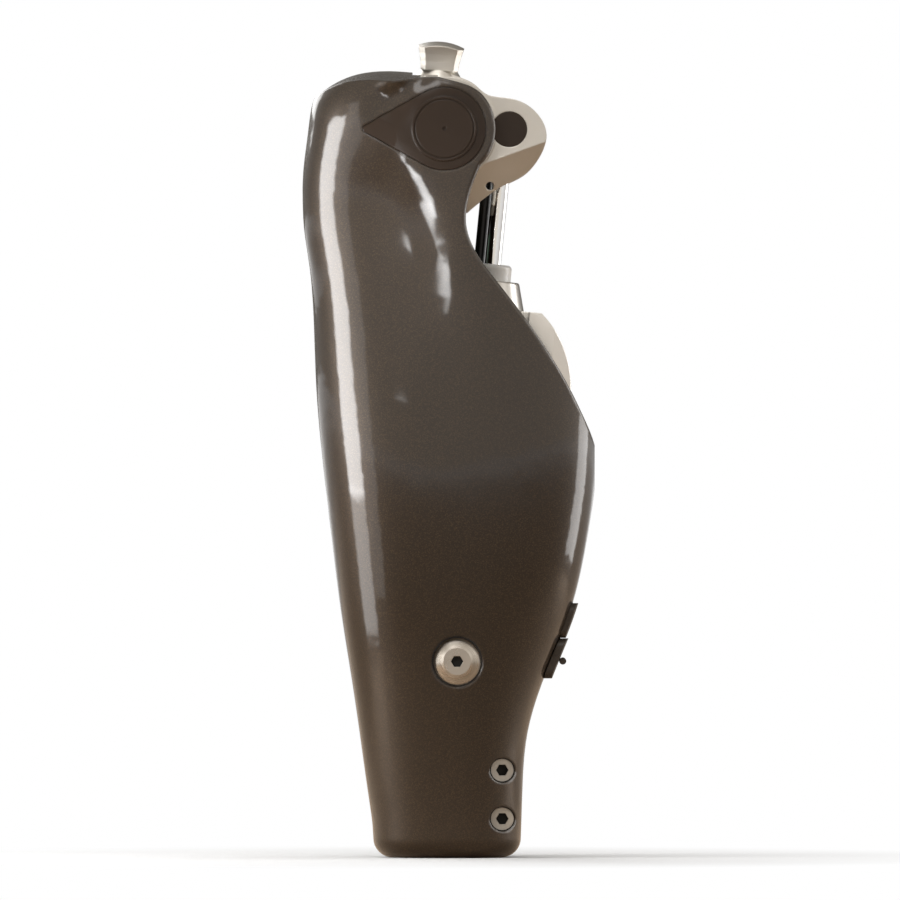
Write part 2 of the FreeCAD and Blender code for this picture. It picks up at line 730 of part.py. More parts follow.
def cylinder_head():
    skirt = upright(HEAD_SEAT_R, CYLINDER_CEILING, UNIT_TOP)
    cone = Part.makeCone(GLAND_FOOT_R, GLAND_TOP_R, GLAND_TOP - UNIT_TOP, V(0, 0, UNIT_TOP))
    edges = [edge for edge in cone.Edges if abs(edge.BoundBox.ZMin - GLAND_TOP) < 1e-3]
    cone = cone.makeFillet(GLAND_FILLET, edges)
    body = fused(skirt, cone)
    seat = upright(ROD_R + ROD_SEAL_SEAT, CYLINDER_CEILING, CYLINDER_CEILING + SEAL_HEIGHT)
    return place_on_rod(body.cut(rod_holes() + [seat]))


def rod_seal():
    ring = upright(ROD_R + ROD_SEAL_WALL, CYLINDER_CEILING, CYLINDER_CEILING + SEAL_HEIGHT)
    return place_on_rod(ring.cut(rod_holes()[0]))


def extension_bumper():
    ring = upright(CYLINDER_R, CYLINDER_CEILING - BUMPER_HEIGHT, CYLINDER_CEILING)
    return place_on_rod(ring.cut([upright(CYLINDER_R - BUMPER_WALL, 0, 300), rod_holes()[1]]))


def floating_piston():
    bottom = CYLINDER_FLOOR + GAS_ROOM
    return place_on_rod(upright(CYLINDER_R, bottom, bottom + PISTON_HEIGHT))


def ear_cylinder(radius, y0, y1):
    """Cylinder around the lower pivot, in the frame of the link line."""
    return Part.makeCylinder(radius, y1 - y0, V(0, y0, 0), ACROSS)


def corner_notch():
    """Step in the left rear corner of the unit's top."""
    return box(CORNER_NOTCH_X, UNIT_BACK, -UNIT_HALF, -CORNER_NOTCH_HALF,
               UNIT_TOP - CORNER_NOTCH_DEPTH, UNIT_TOP)


def cylinder_block():
    body = box(UNIT_FRONT, UNIT_BACK, -UNIT_HALF, UNIT_HALF, 0, UNIT_TOP)
    edges = [edge for edge in body.Edges if edge.BoundBox.ZLength > UNIT_TOP / 2
             and edge.BoundBox.XMax < 0]
    body = body.makeFillet(UNIT_CORNER, edges)
    foot = ear_cylinder(EAR_R, -UNIT_HALF, UNIT_HALF)
    shoulder = box(-60, 60, -60, 60, -60, UNIT_SHOULDER).cut(box(-EAR_R, EAR_R, -60, 60, -60, 60))
    body = body.cut(shoulder).fuse([foot, ear_cylinder(EAR_R, -EAR_HALF, EAR_HALF)])
    well_r = SENSOR_R + SENSOR_WELL_GAP
    seats = ear_cylinder(PIVOT_BUSH_R, -EAR_HALF, PIVOT_BUSH_LENGTH - EAR_HALF)
    cuts = [
        at_rod(upright(CYLINDER_R, CYLINDER_FLOOR, CYLINDER_CEILING)),
        at_rod(upright(HEAD_SEAT_R, CYLINDER_CEILING, UNIT_TOP)),
        at_rod(upright(well_r, CYLINDER_CEILING - SENSOR_WELL, CYLINDER_CEILING, SENSOR_X,
                       SENSOR_Y)),
        seats, mirrored(seats), corner_notch(), mirrored(corner_notch()),
    ]
    return place_on_link(body.cut(cuts).removeSplitter())


def pivot_bush():
    ring = ear_cylinder(PIVOT_BUSH_R, -EAR_HALF, PIVOT_BUSH_LENGTH - EAR_HALF)
    return place_on_link(ring.cut(ear_cylinder(PIVOT_R, -EAR_HALF, EAR_HALF)))


def cover_body(inset):
    """Rear cover's outer form, drawn in by the inset."""
    points = [(x - inset, UNIT_TOP - max(drop, inset)) for x, drop in COVER_OUTLINE]
    lip = (UNIT_BACK, points[-1][1] - COVER_LIP + inset)
    edges = [curve(points)] + polyline([points[-1], lip, (UNIT_BACK, UNIT_TOP - inset), points[0]])
    half = UNIT_HALF - inset
    body = cross_prism(edges, -half, half)
    bevel_x = COVER_BEVEL_START - inset
    corners = [V(COVER_BEVEL_OUT, -UNIT_TOP, 0), V(COVER_BEVEL_OUT, COVER_BEVEL_IN - half, 0),
               V(bevel_x, -half, 0), V(bevel_x, -UNIT_TOP, 0)]
    bevel = Part.Face(Part.makePolygon(corners + corners[:1])).extrude(V(0, 0, UNIT_TOP))
    return body.cut([bevel, mirrored(bevel)])


def unit_cover():
    return place_on_link(cover_body(0.0).cut(cover_body(COVER_WALL)))


def beside_cylinder(radius, z0, z1):
    """Two upright cylinders side by side behind the main cylinder."""
    x = UNIT_BACK + MOTOR_R + MOTOR_GAP
    left = place_on_link(upright(radius, z0, z1, x, -MOTOR_SPREAD))
    return [left, mirrored(left)]


def valve_motors():
    bottom = UNIT_TOP - MOTOR_DROP
    return beside_cylinder(MOTOR_R, bottom, bottom + MOTOR_LENGTH)


def valve_spools():
    top = UNIT_TOP - MOTOR_DROP
    return beside_cylinder(SPOOL_R, top - SPOOL_LENGTH, top)


def pivot_bolt():
    edge = PIVOT_SEAT + PIVOT_FLANGE_EDGE
    shank = cross_cylinder(LOWER_PIVOT, PIVOT_R, -PIVOT_SEAT, -EAR_HALF - PIVOT_GAP)
    plate = cross_cylinder(LOWER_PIVOT, PIVOT_FLANGE_R, -edge, -PIVOT_SEAT)
    cone = Part.makeCone(PIVOT_FLANGE_R, PIVOT_FACE_R, PIVOT_FACE - edge,
                         LOWER_PIVOT - V(0, edge, 0), V(0, -1, 0))
    body = fused(shank, plate, cone)
    return body.cut(hexagon(HEX_M5, LOWER_PIVOT, -60, -PIVOT_FACE + HEX_DEPTH))


def clamp_screws():
    screws = []
    for height in SCREW_HEIGHTS:
        centre = V(SCREW_X, 0, height)
        head = cross_cylinder(centre, SCREW_HEAD_R, -SCREW_SEAT - SCREW_HEAD_HEIGHT, -SCREW_SEAT)
        shank = cross_cylinder(centre, SCREW_R, -SCREW_SEAT, CLAMP_SLOT / 2 + INSERT_LENGTH - 1)
        body = fused(head, shank)
        socket = hexagon(HEX_M5, centre, -60, -SCREW_SEAT - SCREW_HEAD_HEIGHT + HEX_DEPTH)
        screws.append(body.cut(socket))
    return screws


def clamp_inserts():
    inserts = []
    for height in SCREW_HEIGHTS:
        centre = V(SCREW_X, 0, height)
        inserts.append(insert_body(centre).cut(cross_cylinder(centre, SCREW_R, -60, 60)))
    return inserts


def port_plate():
    outer = shin_loft(-PLATE_RISE)
    return port_prism(PORT_SPLIT, PORT_TOP).common(outer).cut(shin_loft())


def charge_cover():
    outer = shin_loft(-FLAP_RISE)
    body = port_prism(PORT_BOTTOM, PORT_SPLIT - FLAP_GAP).common(outer).cut(shin_loft(-FLAP_GAP))
    nub_z = PORT_SPLIT - NUB_DROP
    nub_x = port_surface_x(nub_z) + FLAP_RISE + NUB_RISE
    nub = cross_cylinder(V(nub_x, 0, nub_z), NUB_R, -NUB_HALF, NUB_HALF)
    return fused(body, nub)


def charge_socket():
    """Contact block in the rear wall, just below the flap."""
    surface = port_surface_x(SOCKET_Z)
    block = box(surface - SOCKET_DEPTH, surface + 5, -SOCKET_HALF, SOCKET_HALF,
                SOCKET_Z - SOCKET_HEIGHT / 2, SOCKET_Z + SOCKET_HEIGHT / 2)
    return block.common(shin_loft(SOCKET_SINK))


def electronics_carrier():
    block = box(-80, CARRIER_FACE, -CARRIER_HALF, CARRIER_HALF, CARRIER_BOTTOM, CARRIER_TOP)
    return block.common(shin_loft(FRAME_WALL))


def battery():
    return box(CARRIER_FACE, CARRIER_FACE + BATTERY_THICK, -BATTERY_HALF, BATTERY_HALF,
               BATTERY_BOTTOM, BATTERY_TOP)


def circuit_board():
    return box(CARRIER_FACE, CARRIER_FACE + BOARD_THICK, -BOARD_HALF, BOARD_HALF,
               BOARD_BOTTOM, BOARD_TOP)


def build():
    os.makedirs("parts", exist_ok=True)
    export("frame", [frame()])
    export("axle_cap_left", [axle_cap()])
    export("axle_cap_right", [mirrored(axle_cap())])
    export("knee_bearings", [knee_bearing(), mirrored(knee_bearing())])
    export("knee_axle", [knee_axle()])
    export("axle_screws", [axle_screw(), mirrored(axle_screw())])
    export("knee_head", [knee_head()])
    export("clevis_pin", [clevis_pin()])
    export("pin_plug_left", [pin_plug()])
    export("pin_plug_right", [mirrored(pin_plug())])
    export("eye_bush", [eye_bush()])
    export("rod_eye", [rod_eye()])
    export("piston_rod", [piston_rod()])
    export("sensor_rod", [sensor_rod()])
    export("piston", [piston()])
    export("piston_seal", [piston_seal()])
    export("flexion_stop", [flexion_stop()])
    export("cylinder_head", [cylinder_head()])
    export("rod_seal", [rod_seal()])
    export("extension_bumper", [extension_bumper()])
    export("floating_piston", [floating_piston()])
    export("cylinder_block", [cylinder_block()])
    export("pivot_bushes", [pivot_bush(), mirrored(pivot_bush())])
    export("unit_cover", [unit_cover()])
    export("valve_motors", valve_motors())
    export("valve_spools", valve_spools())
    export("pivot_bolt_left", [pivot_bolt()])
    export("pivot_bolt_right", [mirrored(pivot_bolt())])
    export("clamp_screws", clamp_screws())
    export("clamp_inserts", clamp_inserts())
    export("port_plate", [port_plate()])
    export("charge_cover", [charge_cover()])
    export("charge_socket", [charge_socket()])
    export("electronics_carrier", [electronics_carrier()])
    export("battery", [battery()])
    export("circuit_board", [circuit_board()])


build()
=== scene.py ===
"""Studio view of a hydraulic prosthetic knee joint: finishes, small fittings, light and camera.

Metres, in the part's own frame: +Z up the shin tube, +X to the back of the leg.
"""
import math
from collections import namedtuple

import bpy
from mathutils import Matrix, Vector


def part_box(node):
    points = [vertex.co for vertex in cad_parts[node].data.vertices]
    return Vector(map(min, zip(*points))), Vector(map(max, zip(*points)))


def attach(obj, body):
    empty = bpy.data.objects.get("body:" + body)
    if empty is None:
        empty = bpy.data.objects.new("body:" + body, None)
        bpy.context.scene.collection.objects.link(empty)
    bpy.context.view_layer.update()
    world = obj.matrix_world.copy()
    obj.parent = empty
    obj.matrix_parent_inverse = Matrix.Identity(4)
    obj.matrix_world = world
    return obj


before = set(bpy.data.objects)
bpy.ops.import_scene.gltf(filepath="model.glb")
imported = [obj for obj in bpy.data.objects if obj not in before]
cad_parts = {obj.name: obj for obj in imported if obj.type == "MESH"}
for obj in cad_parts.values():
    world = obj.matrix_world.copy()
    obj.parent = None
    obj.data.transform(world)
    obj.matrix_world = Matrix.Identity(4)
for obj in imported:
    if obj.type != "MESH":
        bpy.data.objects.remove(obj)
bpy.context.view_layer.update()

# Photograph: 900 pixels across, 2.7 pixels to the millimetre at the leg's middle plane.
PIXELS_ACROSS = 900
PIXELS_PER_METRE = 2700
ORIGIN_PIXEL = (446, 857)
CAMERA_DISTANCE = 8.0
SENSOR_MILLIMETRES = 36.0
OBJECT_MIDDLE = 0.16

# Colours, as linear red, green and blue. The flake and those called worn, dark or pale are the
# second colour of a finish.
TAUPE = (0.0230, 0.0124, 0.0048)
TAUPE_FLAKE = (0.055, 0.033, 0.014)
CAP_BROWN = (0.0310, 0.0165, 0.0080)
CAP_BROWN_WORN = (0.0340, 0.0185, 0.0092)
PORT_BROWN = (0.035, 0.027, 0.020)
WARM_SILVER = (0.67, 0.645, 0.60)
WARM_SILVER_DARK = (0.62, 0.595, 0.55)
PALE_SILVER = (0.50, 0.48, 0.45)
PALE_SILVER_DARK = (0.48, 0.46, 0.43)
HOUSING_SILVER = (0.84, 0.82, 0.78)
HOUSING_SILVER_DARK = (0.80, 0.78, 0.74)
STEEL = (0.56, 0.54, 0.51)
STEEL_DARK = (0.36, 0.35, 0.33)
SCREW_STEEL = (0.54, 0.52, 0.48)
SCREW_STEEL_DARK = (0.42, 0.40, 0.37)
BOLT_STEEL = (0.50, 0.46, 0.41)
BOLT_STEEL_DARK = (0.42, 0.385, 0.34)
CHROME = (0.82, 0.81, 0.79)
BRONZE = (0.50, 0.34, 0.16)
GOLD = (0.75, 0.52, 0.20)
BLACK = (0.010, 0.010, 0.010)
SOFT_BLACK = (0.018, 0.016, 0.015)
SOFT_BLACK_WORN = (0.03, 0.028, 0.026)
CHIP_BLACK_WORN = (0.024, 0.022, 0.02)
MILKY = (0.78, 0.77, 0.74)
MILKY_PALE = (0.82, 0.81, 0.78)
BOARD_GREEN = (0.012, 0.075, 0.030)
BOARD_GREEN_PALE = (0.02, 0.10, 0.045)
SLEEVE_BLUE = (0.016, 0.040, 0.110)
SLEEVE_BLUE_WORN = (0.022, 0.055, 0.15)
WHITE = (1, 1, 1)
FLOOR_WHITE = (0.93, 0.93, 0.93)
FLOOR_BOUNCE = (0.60, 0.45, 0.32)
WORLD_TINT = (1.0, 0.93, 0.84)

# Lacquer of the shin: its base, its flakes, the soft clouds in it and its clear coat.
LACQUER_ROUGHNESS = 0.42
LACQUER_METALLIC = 0.55
FLAKE_SCALE = 3400.0
FLAKE_SPAN = (0.55, 1.0)
FLAKE_RELIEF = 0.22
FLAKE_DEPTH = 0.00004
CLOUD_SCALE = 14.0
CLOUD_GREY = (0.82, 0.82, 0.82)
COAT_ROUGHNESS = 0.07

# Skins: noise scales of the colour and the roughness, how far the roughness strays down and up,
# and the scale and the depth of the grain.
Skin = namedtuple("Skin", "colour_scale gloss_scale smoother rougher grain_scale grain_depth")
PLASTIC_SKIN = Skin(60.0, 90.0, 0.02, 0.03, 2400.0, 0.00001)
BLASTED_SKIN = Skin(25.0, 60.0, 0.01, 0.03, 2800.0, 0.00001)
TURNED_SKIN = Skin(60.0, 80.0, 0.06, 0.08, 400.0, 0.000012)
RUBBER_SKIN = Skin(80.0, 150.0, 0.08, 0.10, 1800.0, 0.00004)

# Specular level of the mouldings, the stretch that draws noise into tool lines, and how many times
# brighter the rubber is where it is worn.
PLASTIC_GLOSS = 0.35
TOOL_LINES = (1, 30, 1)
RUBBER_WORN = 1.5

# Hard chrome of the rod, drawn out along it.
CHROME_ROUGHNESS = 0.06
CHROME_ROUGHNESS_SPAN = (0.04, 0.10)
CHROME_GLOSS_SCALE = 200.0
CHROME_GLOSS_LINES = (1, 1, 8)
CHROME_GRAIN_SCALE = 500.0
CHROME_GRAIN_DEPTH = 0.000002
CHROME_GRAIN_LINES = (1, 1, 12)

# Milky clip: its roughness, how deep red, green and blue light go into it, how much of the light
# does, and the scales and the depth of its variation.
MILKY_ROUGHNESS = 0.3
MILKY_DEPTH = (0.004, 0.004, 0.0035)
MILKY_SHARE = 0.4
MILKY_COLOUR_SCALE = 90.0
MILKY_GRAIN_SCALE = 1500.0
MILKY_GRAIN_DEPTH = 0.00001

# Radius to which each finish softens its edges.
LACQUER_EDGE = 0.0014
CAP_EDGE = 0.0007
CAST_EDGE = 0.0006
PLASTIC_EDGE = 0.0004
TURNED_EDGE = 0.0003
RUBBER_EDGE = 0.0003
CHIP_EDGE = 0.0002

# Noise: its detail, and the part of its range in which it varies most. The other span is for
# values that run from 0 to 1.
FINE_DETAIL = 2.0
COLOUR_DETAIL = 3.0
NOISE_SPAN = (0.35, 0.65)
WHOLE_SPAN = (0.0, 1.0)

# How bright the plain light is, and how bright the world shows in gloss on either side of the
# object, with the two directions between which that turns.
WORLD_LIGHT = 0.16
WORLD_IN_GLOSS_BEFORE = 0.85
WORLD_IN_GLOSS_BEYOND = 0.15
WORLD_TURN = (-0.3, 0.9)

# Floor: its reach each way, and the distances from the origin between which it turns from
# shadowed to plain white and, in gloss, from tan to pale.
FLOOR_REACH = 12.0
FLOOR_ROUGHNESS = 0.9
SHADOW_FADE = (0.05, 0.22)
GLOSS_FADE = (0.5, 4.0)

# Soft lights: name, bearing in degrees from the camera's side towards the object's front,
# distance, height, width, length, radiance, height of the point it is turned to, and spread in
# degrees.
WIDE = 180
LIGHTS = [
    ("front_strip", 72, 0.36, 0.19, 0.15, 0.19, 12, 0.19, WIDE),
    ("front_strip_foot", 72, 0.37, 0.055, 0.15, 0.09, 4, 0.055, WIDE),
    ("front_soft", 52, 0.50, 0.20, 0.13, 0.38, 0.9, 0.20, WIDE),
    ("ridge_light", 18, 0.30, 0.22, 0.063, 0.030, 0.4, 0.238, 26),
    ("camera_fill", 8, 1.6, 1.3, 0.9, 0.5, 3.5, OBJECT_MIDDLE, WIDE),
    ("rear_rim", -103, 0.5, 0.25, 0.20, 0.46, 4, 0.25, WIDE),
    ("rear_fill", -60, 1.2, 0.8, 0.4, 0.8, 0.9, OBJECT_MIDDLE, WIDE),
    ("back_fill", 150, 1.3, 0.8, 0.9, 0.9, 3, OBJECT_MIDDLE, WIDE),
    ("top", 20, 0.15, 1.4, 0.6, 0.6, 2.0, OBJECT_MIDDLE, WIDE),
]

# Hex sockets: a black plate of painted shade on each floor, and the places and depths of the
# floors.
SOCKETS_IN_ROW = 2
HEX_CORNERS = 6
HEX_ACROSS = 0.0039
PLATE_THICK = 0.0001
PIVOT_X = 0.0041
PIVOT_HEIGHT = 0.0727
PIVOT_SOCKET_FLOOR = 0.0284
SCREW_X = 0.0208
SCREW_HEIGHT = 0.0144
SCREW_PITCH = 0.0180
SCREW_SOCKET_FLOOR = 0.0124

# Charging contacts: square pads that stand proud of the socket's face.
CONTACT_COUNT = 4
CONTACT_PITCH = 0.0024
CONTACT_WIDTH = 0.0014
CONTACT_DEPTH = 0.0010
CONTACT_RISE = 0.0003

# Chips on the circuit board: place across, place up from its lower edge, half sizes, thickness.
CHIPS = [
    (-0.0045, 0.036, 0.0045, 0.0045, 0.0012),
    (0.0065, 0.040, 0.0030, 0.0022, 0.0010),
    (0.0060, 0.030, 0.0022, 0.0030, 0.0010),
    (-0.0060, 0.020, 0.0028, 0.0018, 0.0014),
    (0.0040, 0.016, 0.0050, 0.0035, 0.0016),
    (-0.0050, 0.006, 0.0050, 0.0025, 0.0040),
]
BOX_FACES = [(0, 1, 3, 2), (4, 6, 7, 5), (0, 4, 5, 1), (2, 3, 7, 6), (0, 2, 6, 4), (1, 5, 7, 3)]

# Kinds of socket for the inputs of a tree, by the kind of value.
SOCKET_KINDS = {int: "NodeSocketInt", float: "NodeSocketFloat", tuple: "NodeSocketVector"}

# Colour sockets of a Mix node, which share their names with its sockets of other kinds.
MIX_FIRST = 6
MIX_SECOND = 7
MIX_RESULT = 2


def show(obj):
    bpy.context.scene.collection.objects.link(obj)


def node_objects(name):
    """The carried-over object of one node and any of its parts."""
    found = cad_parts[name]
    return found if isinstance(found, (list, tuple)) else [found]


def shaded(colour, factor):
    return tuple(value * factor for value in colour)


def new_surface(name, colour, roughness, metallic=0.0):
    """A material with its shader set to one plain finish, to which the others add detail."""
    material = bpy.data.materials.new(name)
    material.use_nodes = True
    shader = shader_of(material)
    shader.inputs["Base Color"].default_value = (*colour, 1)
    shader.inputs["Roughness"].default_value = roughness
    shader.inputs["Metallic"].default_value = metallic
    return material


def shader_of(material):
    return material.node_tree.nodes["Principled BSDF"]


def add_node(owner, kind, **inputs):
    """A node in the tree of its owner, which is a material or the world."""
    node = owner.node_tree.nodes.new(kind)
    for name, value in inputs.items():
        node.inputs[name.replace("_", " ")].default_value = value
    return node


def link(owner, source, target):
    owner.node_tree.links.new(source, target)


def object_place(material, stretch=(1, 1, 1)):
    """Object coordinates, stretched along the axes for brushed or drawn surfaces."""
    place = add_node(material, "ShaderNodeTexCoord")
    mapping = add_node(material, "ShaderNodeMapping", Scale=stretch)
    link(material, place.outputs["Object"], mapping.inputs["Vector"])
    return mapping.outputs["Vector"]


def noise(material, scale, stretch=(1, 1, 1), detail=FINE_DETAIL):
    texture = add_node(material, "ShaderNodeTexNoise", Scale=scale, Detail=detail)
    link(material, object_place(material, stretch), texture.inputs["Vector"])
    return texture.outputs["Fac"]


def remap(owner, value, low, high, source=NOISE_SPAN):
    """A value from the source range, brought to between low and high."""
    node = add_node(owner, "ShaderNodeMapRange")
    node.inputs["From Min"].default_value = source[0]
    node.inputs["From Max"].default_value = source[1]
    node.inputs["To Min"].default_value = low
    node.inputs["To Max"].default_value = high
    link(owner, value, node.inputs["Value"])
    return node.outputs["Result"]


def add_math(owner, operation, first, second):
    node = add_node(owner, "ShaderNodeMath")
    node.operation = operation
    link(owner, first, node.inputs[0])
    link(owner, second, node.inputs[1])
    return node.outputs[0]


def colour_between(owner, value, first, second, source=NOISE_SPAN):
    ramp = add_node(owner, "ShaderNodeValToRGB")
    ramp.color_ramp.elements[0].position = source[0]
    ramp.color_ramp.elements[0].color = (*first, 1)
    ramp.color_ramp.elements[1].position = source[1]
    ramp.color_ramp.elements[1].color = (*second, 1)
    link(owner, value, ramp.inputs["Fac"])
    return ramp.outputs["Color"]


def vary_colour(material, scale, first, second, stretch=(1, 1, 1)):
    pattern = noise(material, scale, stretch, COLOUR_DETAIL)
    colour = colour_between(material, pattern, first, second)
    link(material, colour, shader_of(material).inputs["Base Color"])


def vary_roughness(material, scale, low, high, stretch=(1, 1, 1)):
    value = remap(material, noise(material, scale, stretch), low, high)
    link(material, value, shader_of(material).inputs["Roughness"])


def grain(material, scale, depth, stretch=(1, 1, 1), edge=0.0):
    """Fine relief of the surface, over edges that are softened by a small radius."""
    bump = add_node(material, "ShaderNodeBump", Strength=1.0, Distance=depth)
    link(material, noise(material, scale, stretch), bump.inputs["Height"])
    if edge:
        soft = add_node(material, "ShaderNodeBevel", Radius=edge)
        link(material, soft.outputs["Normal"], bump.inputs["Normal"])
    link(material, bump.outputs["Normal"], shader_of(material).inputs["Normal"])


def add_skin(material, skin, first, second, roughness, edge, stretch=(1, 1, 1)):
    """The variation and the grain that one kind of skin has."""
    vary_colour(material, skin.colour_scale, first, second, stretch)
    vary_roughness(material, skin.gloss_scale, roughness - skin.smoother,
                   roughness + skin.rougher, stretch)
    grain(material, skin.grain_scale, skin.grain_depth, stretch, edge)


def flake_colour(material, cells):
    """Bright flakes here and there in the base colour, under large faint clouds."""
    flakes = colour_between(material, cells.outputs["Red"], TAUPE, TAUPE_FLAKE, FLAKE_SPAN)
    clouds = colour_between(material, noise(material, CLOUD_SCALE), CLOUD_GREY, WHITE)
    shade = add_node(material, "ShaderNodeMix")
    shade.data_type = "RGBA"
    shade.blend_type = "MULTIPLY"
    shade.inputs["Factor"].default_value = 1.0
    link(material, flakes, shade.inputs[MIX_FIRST])
    link(material, clouds, shade.inputs[MIX_SECOND])
    return shade.outputs[MIX_RESULT]


def clear_coated_paint():
    """Dark metallic lacquer: fine bright flakes in a taupe base, under a glossy clear coat."""
    material = new_surface("shin_lacquer", TAUPE, LACQUER_ROUGHNESS, LACQUER_METALLIC)
    shader = shader_of(material)
    texture = add_node(material, "ShaderNodeTexVoronoi", Scale=FLAKE_SCALE)
    link(material, object_place(material), texture.inputs["Vector"])
    cells = add_node(material, "ShaderNodeSeparateColor")
    link(material, texture.outputs["Color"], cells.inputs["Color"])
    link(material, flake_colour(material, cells), shader.inputs["Base Color"])
    soft = add_node(material, "ShaderNodeBevel", Radius=LACQUER_EDGE)
    bump = add_node(material, "ShaderNodeBump", Strength=FLAKE_RELIEF, Distance=FLAKE_DEPTH)
    link(material, cells.outputs["Green"], bump.inputs["Height"])
    link(material, soft.outputs["Normal"], bump.inputs["Normal"])
    link(material, bump.outputs["Normal"], shader.inputs["Normal"])
    link(material, soft.outputs["Normal"], shader.inputs["Coat Normal"])
    shader.inputs["Coat Weight"].default_value = 1.0
    shader.inputs["Coat Roughness"].default_value = COAT_ROUGHNESS
    return material


def moulded_plastic(name, colour, worn, roughness, edge=PLASTIC_EDGE):
    material = new_surface(name, colour, roughness)
    shader_of(material).inputs["Specular IOR Level"].default_value = PLASTIC_GLOSS
    add_skin(material, PLASTIC_SKIN, colour, worn, roughness, edge)
    return material


def blasted_metal(name, light, dark, roughness):
    """Cast or milled metal with a fine blasted skin."""
    material = new_surface(name, light, roughness, 1.0)
    add_skin(material, BLASTED_SKIN, dark, light, roughness, CAST_EDGE)
    return material


def turned_metal(name, light, dark, roughness):
    """Metal with fine tool lines, close together along one axis."""
    material = new_surface(name, light, roughness, 1.0)
    add_skin(material, TURNED_SKIN, dark, light, roughness, TURNED_EDGE, TOOL_LINES)
    return material


def hard_chrome():
    material = new_surface("hard_chrome", CHROME, CHROME_ROUGHNESS, 1.0)
    low, high = CHROME_ROUGHNESS_SPAN
    vary_roughness(material, CHROME_GLOSS_SCALE, low, high, CHROME_GLOSS_LINES)
    grain(material, CHROME_GRAIN_SCALE, CHROME_GRAIN_DEPTH, CHROME_GRAIN_LINES)
    return material


def milky_plastic():
    """Slightly translucent white of the clip."""
    material = new_surface("milky_clip", MILKY, MILKY_ROUGHNESS)
    shader = shader_of(material)
    shader.inputs["Subsurface Weight"].default_value = MILKY_SHARE
    shader.inputs["Subsurface Radius"].default_value = MILKY_DEPTH
    vary_colour(material, MILKY_COLOUR_SCALE, MILKY, MILKY_PALE)
    grain(material, MILKY_GRAIN_SCALE, MILKY_GRAIN_DEPTH, edge=PLASTIC_EDGE)
    return material


def soft_rubber(name, colour, roughness):
    material = new_surface(name, colour, roughness)
    add_skin(material, RUBBER_SKIN, colour, shaded(colour, RUBBER_WORN), roughness, RUBBER_EDGE)
    return material


def finishes():
    """Every finish, with the nodes that wear it."""
    return [
        (clear_coated_paint(),
         ["frame"]),
        (moulded_plastic("cap_brown", CAP_BROWN, CAP_BROWN_WORN, roughness=0.30, edge=CAP_EDGE),
         ["axle_cap_left", "axle_cap_right", "pin_plug_left", "pin_plug_right"]),
        (blasted_metal("cast_silver", WARM_SILVER, WARM_SILVER_DARK, roughness=0.33),
         ["knee_head", "rod_eye"]),
        (turned_metal("turned_steel", STEEL, STEEL_DARK, roughness=0.25),
         ["knee_axle", "knee_bearings", "axle_screws", "clevis_pin", "clamp_inserts",
          "piston", "floating_piston", "valve_motors", "valve_spools"]),
        (turned_metal("screw_steel", SCREW_STEEL, SCREW_STEEL_DARK, roughness=0.34),
         ["clamp_screws"]),
        (turned_metal("bolt_steel", BOLT_STEEL, BOLT_STEEL_DARK, roughness=0.28),
         ["pivot_bolt_left", "pivot_bolt_right"]),
        (turned_metal("bearing_bronze", BRONZE, shaded(BRONZE, 0.8), roughness=0.3),
         ["eye_bush", "pivot_bushes"]),
        (hard_chrome(),
         ["piston_rod"]),
        (moulded_plastic("sensor_black", BLACK, SOFT_BLACK, roughness=0.35),
         ["sensor_rod"]),
        (milky_plastic(),
         ["flexion_stop"]),
        (blasted_metal("pale_anodised", PALE_SILVER, PALE_SILVER_DARK, roughness=0.30),
         ["cylinder_head"]),
        (blasted_metal("housing_anodised", HOUSING_SILVER, HOUSING_SILVER_DARK, roughness=0.34),
         ["cylinder_block", "unit_cover"]),
        (soft_rubber("seal_rubber", BLACK, roughness=0.62),
         ["rod_seal", "piston_seal", "extension_bumper"]),
        (soft_rubber("port_rubber", PORT_BROWN, roughness=0.5),
         ["port_plate", "charge_cover"]),
        (moulded_plastic("black_moulding", SOFT_BLACK, SOFT_BLACK_WORN, roughness=0.4),
         ["charge_socket", "electronics_carrier"]),
        (moulded_plastic("battery_sleeve", SLEEVE_BLUE, SLEEVE_BLUE_WORN, roughness=0.35),
         ["battery"]),
        (moulded_plastic("board_lacquer", BOARD_GREEN, BOARD_GREEN_PALE, roughness=0.3),
         ["circuit_board"]),
    ]


def dress_nodes():
    for material, names in finishes():
        for name in names:
            for obj in node_objects(name):
                obj.data.materials.clear()
                obj.data.materials.append(material)


